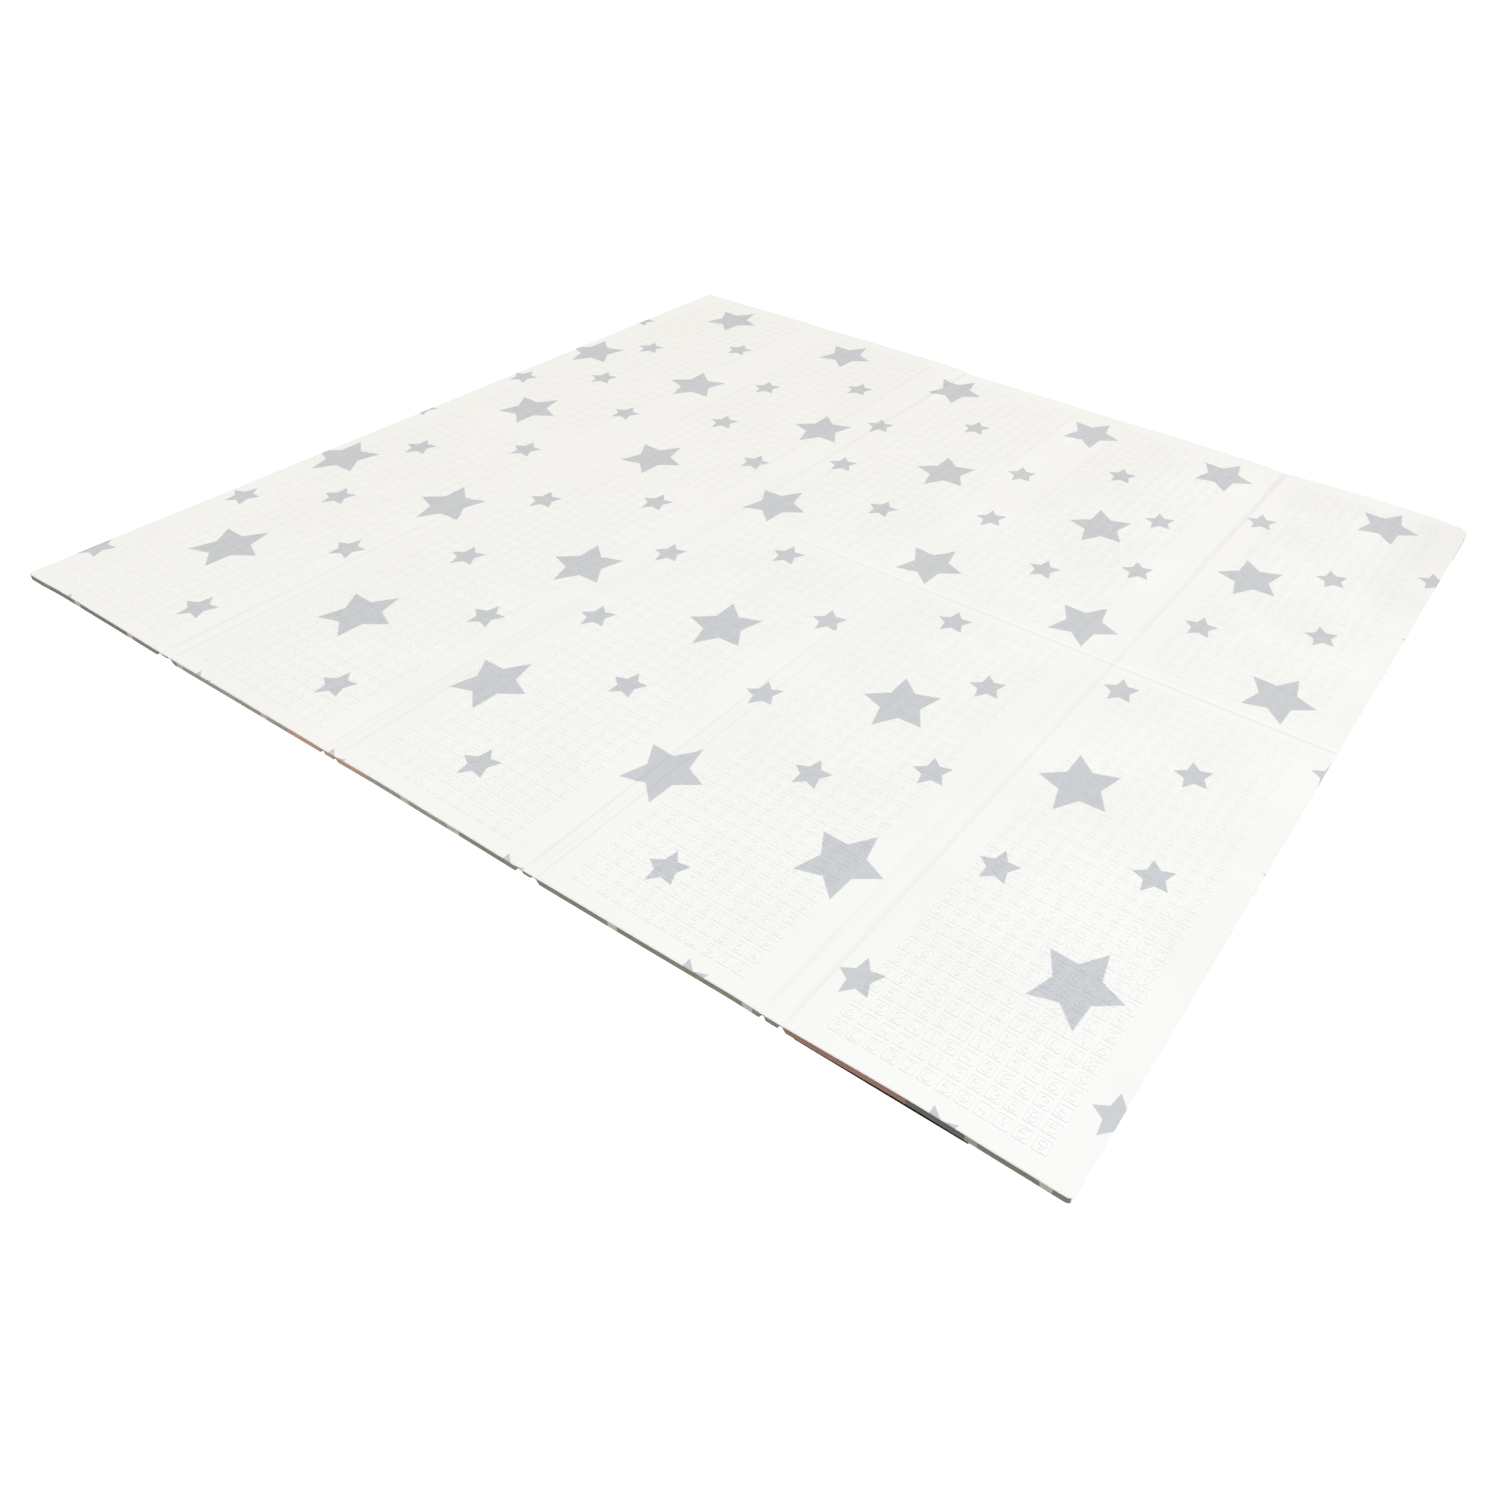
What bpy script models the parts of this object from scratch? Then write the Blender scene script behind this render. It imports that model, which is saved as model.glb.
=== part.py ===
"""A folding baby play mat of pressed foam, laid open on the floor.

The mat is one sheet of closed-cell foam with a film on each face. It is ten panels, five
along the length by two across, and it folds along four bands and one line at mid-width.
Each band is a narrow spine between two necks, where the foam is cut away from below until
only the top film and a little foam are left, so that the spine can wrap a stack of two
layers. The line at mid-width is a single neck.

Metres, +Z up, +X along the length. The origin is on the floor, under the middle of the mat.
"""

import bpy
import numpy as np

# Driving sizes of the sheet
LENGTH = 2.000
WIDTH = 1.800
THICKNESS = 0.012
CORNER_RADIUS = 0.008
TOP_ROUNDING = 0.0016
UNDER_ROUNDING = 0.0012

# The bands that cross the mat. Columns are the band's middle on X, the widths of its left
# and right necks, and the thickness of its spine
BANDS = (
    (-0.611, 0.0100, 0.0085, 0.0062),
    (-0.211, 0.0040, 0.0026, 0.0108),
    (0.191, 0.0085, 0.0080, 0.0082),
    (0.599, 0.0030, 0.0045, 0.0112),
)
NECK_OFFSET = 0.013
NECK_THICKNESS = 0.0018
NECK_LEAST = 0.0012
SPINE_BEVEL = 0.0020
PANEL_END = 0.0052

# The line that halves the mat, by its place on Y, the half width of its neck and of the
# notch below it
HALVING_Y = 0.018
HALVING_NECK_HALF = 0.0008
HALVING_NOTCH_HALF = 0.0050

# How the top film is drawn down at the folds: into each neck, and in a soft slope beside it
NECK_DIP = 0.0009
NECK_DIP_REACH = 0.008
SLOPE_DIP = 0.0006
SLOPE_REACH = 0.045
HALVING_DIP = 0.0006
HALVING_REACH = 0.008

# The mat does not lie quite flat. Rise of its front edge and of its back edge off the
# floor. Both ends of the mat lie on the floor. Columns are the place on X and the rise
FRONT_RISE = (
    (-1.000, 0.0000),
    (-0.970, 0.0000),
    (-0.900, 0.0030),
    (-0.780, 0.0022),
    (-0.611, 0.0004),
    (-0.400, 0.0020),
    (-0.211, 0.0030),
    (-0.100, 0.0044),
    (0.030, 0.0026),
    (0.191, 0.0004),
    (0.360, 0.0008),
    (0.530, 0.0022),
    (0.599, 0.0005),
    (0.790, 0.0038),
    (0.950, 0.0008),
    (0.970, 0.0000),
    (1.000, 0.0000),
)
BACK_RISE = (
    (-1.000, 0.0000),
    (-0.970, 0.0000),
    (-0.900, 0.0006),
    (-0.680, 0.0036),
    (-0.400, 0.0062),
    (-0.228, 0.0080),
    (-0.170, 0.0024),
    (0.000, 0.0030),
    (0.191, 0.0034),
    (0.400, 0.0044),
    (0.540, 0.0030),
    (0.612, 0.0005),
    (0.800, 0.0044),
    (0.930, 0.0040),
    (0.970, 0.0000),
    (1.000, 0.0000),
)
FRONT_RISE_DEPTH = 0.55
BACK_RISE_DEPTH = 0.75

FILM_COLOUR = (0.900, 0.895, 0.870, 1.0)
FILM_ROUGHNESS = 0.55


def ease(t):
    """Go from 0 to 1 with level ends, as t does: three t squared less two t cubed."""
    t = np.clip(t, 0.0, 1.0)
    return t * t * (3.0 - 2.0 * t)


def eased_table(value, table):
    """Read a table of places and heights, with a level, eased step from row to row."""
    places, heights = np.array(table).T
    row = np.clip(np.searchsorted(places, value) - 1, 0, len(places) - 2)
    along = (value - places[row]) / (places[row + 1] - places[row])
    return heights[row] + (heights[row + 1] - heights[row]) * ease(along)


def rise(x, y):
    """Height of the underside over the floor.

    Each edge has the rises of its own table, which fade inwards as the square of what is
    left of the depth that they reach.
    """
    from_front = y + WIDTH / 2
    from_back = WIDTH / 2 - y
    front = np.clip(1.0 - from_front / FRONT_RISE_DEPTH, 0.0, 1.0) ** 2
    back = np.clip(1.0 - from_back / BACK_RISE_DEPTH, 0.0, 1.0) ** 2
    return eased_table(x, FRONT_RISE) * front + eased_table(x, BACK_RISE) * back


def under_bands(x):
    """Foam cut away from below at the bands, as a depth up from the underside.

    From the middle of a band outwards the cut is the spine's own thinning, a bevel up to
    the neck, the neck, and the rounded end of the panel.
    """
    full = THICKNESS - NECK_THICKNESS
    cut = np.zeros_like(x)
    for middle, left_neck, right_neck, spine in BANDS:
        thinned = THICKNESS - spine
        for side, neck in ((-1.0, left_neck), (1.0, right_neck)):
            away = (x - middle) * side
            start = NECK_OFFSET - neck / 2
            end = NECK_OFFSET + neck / 2
            places = (start - SPINE_BEVEL, start, end, end + 0.3 * PANEL_END, end + PANEL_END)
            depths = (thinned, full, full, 0.55 * full, 0.0)
            here = np.interp(away, places, depths)
            cut = np.where(away >= 0.0, np.maximum(cut, here), cut)
    return cut


def under_halving(y):
    """Foam cut away from below along the halving line: one V-shaped notch."""
    away = np.abs(y - HALVING_Y)
    full = THICKNESS - NECK_THICKNESS
    return np.interp(away, (HALVING_NECK_HALF, HALVING_NOTCH_HALF), (full, 0.0))


def top_dip(x, y):
    """How far the top film is drawn down at the folds, under its full height."""
    dip = np.zeros_like(x)
    for middle, *_ in BANDS:
        away = np.abs(x - middle)
        at_neck = ease(1.0 - np.abs(away - NECK_OFFSET) / NECK_DIP_REACH)
        slope = ease(1.0 - away / SLOPE_REACH)
        dip = np.maximum(dip, NECK_DIP * at_neck + SLOPE_DIP * slope)
    across = np.abs(y - HALVING_Y)
    return np.maximum(dip, HALVING_DIP * ease(1.0 - across / HALVING_REACH))


def edge_stations(half):
    """Places close to the two edges of a side, for their rounding and the corners."""
    insets = (0.0, TOP_ROUNDING, 0.5 * CORNER_RADIUS, CORNER_RADIUS)
    return [side * (half - inset) for inset in insets for side in (-1, 1)]


def length_stations():
    """Places along X where the sheet has points: close at bands and edges, wide between."""
    half = LENGTH / 2
    stations = edge_stations(half)
    for middle, left_neck, right_neck, _ in BANDS:
        for side, neck in ((-1.0, left_neck), (1.0, right_neck)):
            start = NECK_OFFSET - neck / 2
            end = NECK_OFFSET + neck / 2
            offsets = (0.0, start - SPINE_BEVEL, start, NECK_OFFSET, end,
                       end + 0.3 * PANEL_END, end + PANEL_END, SLOPE_REACH)
            stations += [middle + side * offset for offset in offsets]
    limits = (-half, *(band[0] for band in BANDS), half)
    for start, end in zip(limits[:-1], limits[1:]):
        stations += list(np.linspace(start, end, 6)[1:-1])
    return np.unique(np.round(stations, 6))


def width_stations():
    """Places along Y where the sheet has points: close at the halving line and edges."""
    half = WIDTH / 2
    stations = edge_stations(half)
    offsets = (0.0, HALVING_NECK_HALF, HALVING_NOTCH_HALF, HALVING_REACH, SLOPE_REACH)
    stations += [HALVING_Y + side * offset for offset in offsets for side in (-1, 1)]
    for start, end in ((-half, HALVING_Y), (HALVING_Y, half)):
        stations += list(np.linspace(start, end, 7)[1:-1])
    return np.unique(np.round(stations, 6))


def corner_shares(x, y):
    """How far points are across the square of their corner, along X and along Y.

    Both shares are 0 outside the four squares, and 1 at the mat's edge.
    """
    across = (np.abs(x) - (LENGTH / 2 - CORNER_RADIUS)) / CORNER_RADIUS
    along = (np.abs(y) - (WIDTH / 2 - CORNER_RADIUS)) / CORNER_RADIUS
    inside = (across > 0.0) & (along > 0.0)
    across = np.where(inside, np.clip(across, 0.0, 1.0), 0.0)
    along = np.where(inside, np.clip(along, 0.0, 1.0), 0.0)
    return across, along


def rounded_corners(x, y):
    """Draw the points of each corner's square onto a quarter disc of CORNER_RADIUS."""
    across, along = corner_shares(x, y)
    inside = across > 0.0
    disc_x = across * np.sqrt(1.0 - along ** 2 / 2.0)
    disc_y = along * np.sqrt(1.0 - across ** 2 / 2.0)
    corner_x = np.sign(x) * (LENGTH / 2 - CORNER_RADIUS + disc_x * CORNER_RADIUS)
    corner_y = np.sign(y) * (WIDTH / 2 - CORNER_RADIUS + disc_y * CORNER_RADIUS)
    return np.where(inside, corner_x, x), np.where(inside, corner_y, y)


def turned_up(x, y, rim):
    """How far the lower edge is rounded up: at the rim, and bowl-like across the corners."""
    share = np.maximum(*corner_shares(x, y))
    return UNDER_ROUNDING * np.where(rim, 1.0, share ** 2)


def sheet_arrays():
    """Work out the points and faces of the closed sheet: a top, an underside and a wall."""
    x, y = np.meshgrid(length_stations(), width_stations(), indexing="ij")
    rim = np.zeros(x.shape, dtype=bool)
    rim[[0, -1], :] = True
    rim[:, [0, -1]] = True
    floor_gap = rise(x, y)
    cut = np.maximum(under_bands(x), under_halving(y))
    top = floor_gap + THICKNESS - top_dip(x, y) - TOP_ROUNDING * rim
    underside = floor_gap + np.maximum(cut, turned_up(x, y, rim))
    underside = np.minimum(underside, top - NECK_LEAST)
    flat_x, flat_y = rounded_corners(x, y)
    points = np.concatenate([
        np.stack([flat_x, flat_y, top], axis=-1).reshape(-1, 3),
        np.stack([flat_x, flat_y, underside], axis=-1).reshape(-1, 3),
    ])
    index = np.arange(x.size).reshape(x.shape)
    quads = np.stack([index[:-1, :-1], index[1:, :-1], index[1:, 1:], index[:-1, 1:]], axis=-1)
    quads = quads.reshape(-1, 4)
    loop = np.concatenate([index[:, 0], index[-1, 1:], index[-2::-1, -1], index[0, -2:0:-1]])
    following = np.roll(loop, -1)
    wall = np.stack([loop + x.size, following + x.size, following, loop], axis=-1)
    return points, np.concatenate([quads, quads[:, ::-1] + x.size, wall])


def film_material():
    """The matt, warm white film that covers the foam."""
    material = bpy.data.materials.new("white film on foam")
    material.use_nodes = True
    shader = material.node_tree.nodes["Principled BSDF"]
    shader.inputs["Base Color"].default_value = FILM_COLOUR
    shader.inputs["Roughness"].default_value = FILM_ROUGHNESS
    shader.inputs["Metallic"].default_value = 0.0
    return material


def build_play_mat():
    """The whole mat: its panels, spines and necks are one pressed sheet, so one solid."""
    points, faces = sheet_arrays()
    mesh = bpy.data.meshes.new("play_mat")
    mesh.from_pydata(points.tolist(), [], faces.tolist())
    mesh.update()
    mesh.shade_smooth()
    mesh.set_sharp_from_angle(angle=np.radians(30.0))
    mesh.materials.append(film_material())
    mat = bpy.data.objects.new("play_mat", mesh)
    bpy.context.scene.collection.objects.link(mat)
    return mat


for leftover in list(bpy.data.objects):
    bpy.data.objects.remove(leftover, do_unlink=True)

build_play_mat()
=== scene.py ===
import math

import bpy
import numpy as np
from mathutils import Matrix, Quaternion, Vector


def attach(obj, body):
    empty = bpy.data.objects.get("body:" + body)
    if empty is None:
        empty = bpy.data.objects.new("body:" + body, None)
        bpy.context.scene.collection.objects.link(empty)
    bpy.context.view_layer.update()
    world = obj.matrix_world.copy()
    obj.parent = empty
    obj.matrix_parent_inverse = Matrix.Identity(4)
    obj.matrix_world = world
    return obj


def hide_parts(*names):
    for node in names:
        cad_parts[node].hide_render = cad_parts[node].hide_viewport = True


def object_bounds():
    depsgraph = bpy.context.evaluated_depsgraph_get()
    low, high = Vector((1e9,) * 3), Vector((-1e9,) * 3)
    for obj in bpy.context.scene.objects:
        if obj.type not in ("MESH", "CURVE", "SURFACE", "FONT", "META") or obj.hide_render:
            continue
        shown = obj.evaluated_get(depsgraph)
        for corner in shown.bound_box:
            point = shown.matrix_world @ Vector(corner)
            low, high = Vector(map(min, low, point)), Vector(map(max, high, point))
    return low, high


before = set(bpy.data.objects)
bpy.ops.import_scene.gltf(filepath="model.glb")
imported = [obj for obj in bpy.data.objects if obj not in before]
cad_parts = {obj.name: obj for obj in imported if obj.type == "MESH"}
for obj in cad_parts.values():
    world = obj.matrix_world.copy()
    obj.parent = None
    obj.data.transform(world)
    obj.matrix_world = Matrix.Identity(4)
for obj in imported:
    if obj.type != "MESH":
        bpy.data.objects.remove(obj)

cad_low, cad_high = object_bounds()

# The camera stands off the near right corner of the mat and looks down across it to the
# far left, turned a little on its own axis. Its frame is square and shifted sideways, as
# in a picture that was cut from a wider one.
CAMERA_PLACE = (1.1521, -1.6014, 1.1857)
CAMERA_AIM = (0.4274, -0.3887, 0.0)
CAMERA_ROLL = math.radians(4.068)
CAMERA_LENS = 28.953
CAMERA_SENSOR = 36.0
CAMERA_SHIFT = -0.0917

camera_data = bpy.data.cameras.new("camera")
camera_data.sensor_fit = "HORIZONTAL"
camera_data.sensor_width = CAMERA_SENSOR
camera_data.lens = CAMERA_LENS
camera_data.shift_x = CAMERA_SHIFT
camera = bpy.data.objects.new("camera", camera_data)
camera.location = CAMERA_PLACE
camera.rotation_mode = "QUATERNION"
looking = (Vector(CAMERA_AIM) - Vector(CAMERA_PLACE)).to_track_quat("-Z", "Y")
camera.rotation_quaternion = looking @ Quaternion((0.0, 0.0, 1.0), CAMERA_ROLL)
bpy.context.scene.collection.objects.link(camera)
bpy.context.scene.camera = camera

# The studio: soft light from all round, a far lamp behind and above the mat that brings
# out its pressed relief, a large bluish fill over the near right corner, and a white floor
# lit from below as a light table is, so that the mat's own shadow vanishes.
AIR_STRENGTH = 0.547
AIR_COLOUR = (1.0, 0.963, 0.949, 1.0)
KEY_FROM = (0.0, 0.67, 0.74)
KEY_STRENGTH = 2.4
KEY_COLOUR = (1.0, 1.0, 1.0)
KEY_SPREAD = math.radians(16.0)
FILL_PLACE = (1.9, -1.9, 2.5)
FILL_AIM = (0.5, -0.5, 0.0)
FILL_SIDE = 1.4
FILL_POWER = 14.3
FILL_COLOUR = (0.47, 0.66, 1.0)
FLOOR_HALF = 16.0
FLOOR_DROP = 0.0002
FLOOR_WHITE = (0.86, 0.86, 0.86, 1.0)
FLOOR_GLOW = 0.85
FLOOR_SHEEN = 0.1
PAPER_ROUGHNESS = 0.9

world = bpy.data.worlds.new("studio air")
world.use_nodes = True
air = world.node_tree.nodes["Background"]
air.inputs["Color"].default_value = AIR_COLOUR
air.inputs["Strength"].default_value = AIR_STRENGTH
bpy.context.scene.world = world
bpy.context.scene.view_settings.view_transform = "Standard"

key_data = bpy.data.lights.new("lamp behind the mat", "SUN")
key_data.energy = KEY_STRENGTH
key_data.angle = KEY_SPREAD
key_data.color = KEY_COLOUR
key = bpy.data.objects.new("lamp_behind_the_mat", key_data)
key.rotation_euler = Vector(KEY_FROM).to_track_quat("Z", "Y").to_euler()
bpy.context.scene.collection.objects.link(key)

fill_data = bpy.data.lights.new("fill over the near corner", "AREA")
fill_data.shape = "SQUARE"
fill_data.size = FILL_SIDE
fill_data.energy = FILL_POWER
fill_data.color = FILL_COLOUR
fill = bpy.data.objects.new("fill_over_the_near_corner", fill_data)
fill.location = FILL_PLACE
fill.rotation_euler = (Vector(FILL_AIM) - Vector(FILL_PLACE)).to_track_quat("-Z", "Y").to_euler()
bpy.context.scene.collection.objects.link(fill)


def studio_sheet(name, x_range, y_range, drop, colour):
    """A level rectangle a little under the mat, in one dull colour, and its shader."""
    left, right = x_range
    front, back = y_range
    corners = [
        (left, front, -drop),
        (right, front, -drop),
        (right, back, -drop),
        (left, back, -drop),
    ]
    mesh = bpy.data.meshes.new(name)
    mesh.from_pydata(corners, [], [(0, 1, 2, 3)])
    paint = bpy.data.materials.new(name)
    paint.use_nodes = True
    shader = paint.node_tree.nodes["Principled BSDF"]
    shader.inputs["Base Color"].default_value = colour
    shader.inputs["Roughness"].default_value = PAPER_ROUGHNESS
    mesh.materials.append(paint)
    sheet = bpy.data.objects.new(name.replace(" ", "_"), mesh)
    bpy.context.scene.collection.objects.link(sheet)
    return sheet, shader


floor, floor_shader = studio_sheet(
    "studio floor",
    (-FLOOR_HALF, FLOOR_HALF),
    (-FLOOR_HALF, FLOOR_HALF),
    FLOOR_DROP,
    FLOOR_WHITE,
)
floor_shader.inputs["Specular IOR Level"].default_value = FLOOR_SHEEN
floor_shader.inputs["Emission Color"].default_value = (1.0, 1.0, 1.0, 1.0)
floor_shader.inputs["Emission Strength"].default_value = FLOOR_GLOW

# Painted shadow: a black card lies under the near right panel, so that the thin gap where the
# mat's edge stands off the floor there is dark, and no light comes up through it.
CARD_X_RANGE = (0.632, 0.872)
CARD_Y_RANGE = (-0.8995, -0.5)
CARD_DROP = 0.0001
SHADOW_CARD_BLACK = (0.015, 0.015, 0.013, 1.0)

card, _ = studio_sheet("shadow card", CARD_X_RANGE, CARD_Y_RANGE, CARD_DROP, SHADOW_CARD_BLACK)

# The mat's form. It is one sheet of closed-cell foam with a film welded to each face. Four
# bands cross it, each a spine between two necks where the foam is cut away from below, and
# one notch halves it, so that it folds into a stack. Laid open, its edges rise here and there.
LENGTH = cad_high[0] - cad_low[0]
WIDTH = cad_high[1] - cad_low[1]
THICKNESS = 0.012
CORNER_RADIUS = 0.008
FAR_RIGHT_RADIUS = 0.024

# Columns are a band's middle on X, the widths of its left and right necks, and the
# thickness of its spine
BANDS = (
    (-0.611, 0.0100, 0.0085, 0.0062),
    (-0.211, 0.0040, 0.0026, 0.0108),
    (0.191, 0.0085, 0.0080, 0.0082),
    (0.599, 0.0030, 0.0045, 0.0112),
)
NECK_OFFSET = 0.013
NECK_THICKNESS = 0.0018
NECK_LEAST = 0.0012
SPINE_BEVEL = 0.0020
PANEL_END = 0.0052
PANEL_END_BEND = 0.3
PANEL_END_DEPTH = 0.55
HALVING_Y = 0.018
HALVING_NECK_HALF = 0.0008
HALVING_NOTCH_HALF = 0.0050

# How the top film lies at the folds: drawn down over each neck, in a soft slope beside it,
# and in sharper creases. At mid-width it stands up in a low ridge behind a crease
NECK_DIP = 0.0009
NECK_DIP_REACH = 0.008
SLOPE_DIP = 0.0006
SLOPE_REACH = 0.045
CREASE_EDGE_SHARE = 0.35
CREASE_EDGE_REACH = 0.030

# Columns are a crease's place on X at the front edge and at the back edge, its depth at the
# front and at the back, and half its width
CREASES = (
    (-0.6208, -0.6208, 0.0013, 0.0002, 0.0065),
    (-0.5957, -0.5957, 0.0007, 0.0002, 0.0065),
    (-0.2245, -0.2230, 0.0011, 0.0001, 0.0045),
    (-0.2123, -0.2120, 0.0008, 0.0001, 0.0038),
    (-0.1985, -0.2050, 0.0011, 0.0001, 0.0055),
    (-0.2120, -0.1945, 0.0000, 0.0020, 0.0078),
    (0.1822, 0.1830, 0.0013, 0.0001, 0.0050),
    (0.1983, 0.1985, 0.0008, 0.0001, 0.0038),
    (0.2073, 0.2060, 0.0009, 0.0001, 0.0042),
    (0.5822, 0.5840, 0.0010, 0.0001, 0.0062),
    (0.6130, 0.6105, 0.0010, 0.0019, 0.0070),
)
HALVING_RIDGE = 0.00055
HALVING_RIDGE_REACH = 0.0058
HALVING_CREASE = 0.0003
HALVING_CREASE_REACH = 0.0055
HALVING_CREASE_BEFORE = 0.0085
HALVING_LEAST = 0.15

# Columns are the place on X and the rise of the front edge, then of the back edge
FRONT_RISE = (
    (-1.000, 0.0000),
    (-0.970, 0.0000),
    (-0.900, 0.0030),
    (-0.780, 0.0022),
    (-0.611, 0.0004),
    (-0.400, 0.0020),
    (-0.211, 0.0030),
    (-0.100, 0.0044),
    (0.030, 0.0026),
    (0.191, 0.0004),
    (0.360, 0.0008),
    (0.530, 0.0022),
    (0.599, 0.0005),
    (0.790, 0.0038),
    (0.950, 0.0008),
    (0.970, 0.0000),
    (1.000, 0.0000),
)
BACK_RISE = (
    (-1.000, 0.0000),
    (-0.970, 0.0000),
    (-0.900, 0.0006),
    (-0.680, 0.0036),
    (-0.400, 0.0062),
    (-0.228, 0.0080),
    (-0.170, 0.0024),
    (0.000, 0.0030),
    (0.191, 0.0034),
    (0.400, 0.0044),
    (0.540, 0.0030),
    (0.612, 0.0005),
    (0.800, 0.0044),
    (0.930, 0.0040),
    (0.970, 0.0000),
    (1.000, 0.0000),
)
FRONT_RISE_DEPTH = 0.55
BACK_RISE_DEPTH = 0.75


def ease(t):
    """Go from 0 to 1 with level ends, as t does: three t squared less two t cubed."""
    t = np.clip(t, 0.0, 1.0)
    return t * t * (3.0 - 2.0 * t)


def eased_table(value, table):
    """Read a table of places and heights, with a level, eased step from row to row."""
    places, heights = np.array(table).T
    row = np.clip(np.searchsorted(places, value) - 1, 0, len(places) - 2)
    along = (value - places[row]) / (places[row + 1] - places[row])
    return heights[row] + (heights[row + 1] - heights[row]) * ease(along)


def rise(x, y):
    """Height of the underside over the floor: each edge's table, fading as a square."""
    front = np.clip(1.0 - (y + WIDTH / 2) / FRONT_RISE_DEPTH, 0.0, 1.0) ** 2
    back = np.clip(1.0 - (WIDTH / 2 - y) / BACK_RISE_DEPTH, 0.0, 1.0) ** 2
    return eased_table(x, FRONT_RISE) * front + eased_table(x, BACK_RISE) * back


def hump(away, reach):
    """A soft hump, 1 at its middle and 0 at its reach: the ease of what is left of it."""
    return ease(1.0 - np.abs(away) / reach)


def crease_depth(x, y):
    """Depth of the creases: narrow humps whose place goes evenly from front to back.

    The depth is the front one fading as a square towards the back, and the back one
    fading as a square towards the front. Both run shallower close to the two edges.
    """
    back = y / WIDTH + 0.5
    near_edge = hump(WIDTH / 2 - np.abs(y), CREASE_EDGE_REACH)
    fading = 1.0 - (1.0 - CREASE_EDGE_SHARE) * near_edge
    total = np.zeros(np.broadcast(x, y).shape)
    for front_place, back_place, front_depth, back_depth, reach in CREASES:
        place = front_place + (back_place - front_place) * back
        depth = front_depth * (1.0 - back) ** 2 + back_depth * back ** 2
        total = total + depth * fading * hump(x - place, reach)
    return total


def top_height(x, y):
    """Height of the top film: rise and thickness, less the dips of the bands and notch.

    A band's dip is a hump at each neck and a wide one over the band, and the creases are
    added to it. At the notch a ridge is added behind a crease, both weaker to the left.
    """
    dip = np.zeros(np.broadcast(x, y).shape)
    for middle, *_ in BANDS:
        away = np.abs(x - middle)
        at_neck = NECK_DIP * hump(away - NECK_OFFSET, NECK_DIP_REACH)
        slope = SLOPE_DIP * hump(away, SLOPE_REACH)
        dip = np.maximum(dip, at_neck + slope)
    dip = dip + crease_depth(x, y)
    behind = y - HALVING_Y
    strength = HALVING_LEAST + (1.0 - HALVING_LEAST) * ease(x / LENGTH + 0.5)
    ridge = HALVING_RIDGE * strength * hump(behind, HALVING_RIDGE_REACH)
    crease = HALVING_CREASE * strength
    crease = crease * hump(behind + HALVING_CREASE_BEFORE, HALVING_CREASE_REACH)
    return rise(x, y) + THICKNESS - np.maximum(dip, crease) + ridge


def underside_height(x, y):
    """Height of the underside: rise and what is cut away at the bands and the notch.

    From the middle of a band outwards the cut is the spine's own thinning, a bevel up to
    the neck, the neck, and the rounded end of the panel. The notch is a V.
    """
    full = THICKNESS - NECK_THICKNESS
    cut = np.interp(np.abs(y - HALVING_Y), (HALVING_NECK_HALF, HALVING_NOTCH_HALF), (full, 0.0))
    for middle, left_neck, right_neck, spine in BANDS:
        for side, neck in ((-1.0, left_neck), (1.0, right_neck)):
            away = (x - middle) * side
            start = NECK_OFFSET - neck / 2
            end = NECK_OFFSET + neck / 2
            bend = end + PANEL_END_BEND * PANEL_END
            places = (start - SPINE_BEVEL, start, end, bend, end + PANEL_END)
            depths = (THICKNESS - spine, full, full, PANEL_END_DEPTH * full, 0.0)
            here = np.where(away >= 0.0, np.interp(away, places, depths), 0.0)
            cut = np.maximum(cut, here)
    return np.minimum(rise(x, y) + cut, top_height(x, y) - NECK_LEAST)


# The mat's faces and its edge. Top and underside are grids, closest at the folds. The edge
# is a strip carried round the outline: the top film turns over and ends in a lip, a fine
# seam lies under the lip, and the foam's side below is slightly full and turns under.
EDGE_TURN = 0.0015
GRID_ALONG = 0.0100
GRID_ACROSS = 0.0250
BAND_SPAN = 0.0240
BAND_STEP = 0.0012
HALVING_SPAN = 0.0160
HALVING_STEP = 0.0010
GRID_CLEAR = 0.4
PLACE_DIGITS = 6
EDGE_STEPS = (0.0, 0.0013, 0.0030, 0.0048, 0.0065, 0.0110, 0.0170)

# Rows of the edge strip, from the top film down. Columns are the inset from the outline at
# the front edge and at the other edges, and then a depth under the film, a height over the
# underside or a share of the side between the two
LIP_DEPTH = 0.0013
FOOT_HEIGHT = 0.0009
EDGE_ROWS = (
    (0.00060, 0.00060, 0.00012, None, None),
    (0.00015, 0.00015, 0.00038, None, None),
    (0.00000, 0.00000, 0.00072, None, None),
    (0.00010, 0.00003, 0.00092, None, None),
    (0.00042, 0.00010, 0.00100, None, None),
    (0.00042, 0.00010, LIP_DEPTH, None, None),
    (0.00010, 0.00003, None, None, 0.12),
    (0.00000, 0.00000, None, None, 0.50),
    (0.00008, 0.00008, None, None, 0.88),
    (0.00035, 0.00035, None, 0.00075, None),
    (0.00085, 0.00085, None, 0.00025, None),
)
LIP_STRIPS = 4
SEAM_STRIPS = 2
FULL_EDGE = 0.0045

# The coloured film of the reverse shows where the outline faces forwards by FACES_FRONT. On
# the right the edge is finished like the front one, from the place on Y given below up to
# where the outline faces back by FACES_BACK
FACES_FRONT = 0.7
FACES_BACK = 0.8
DARK_RIGHT_FROM = 0.75
FILM, BAND, SEAM, PALE_EDGE, REVERSE = range(5)


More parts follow.
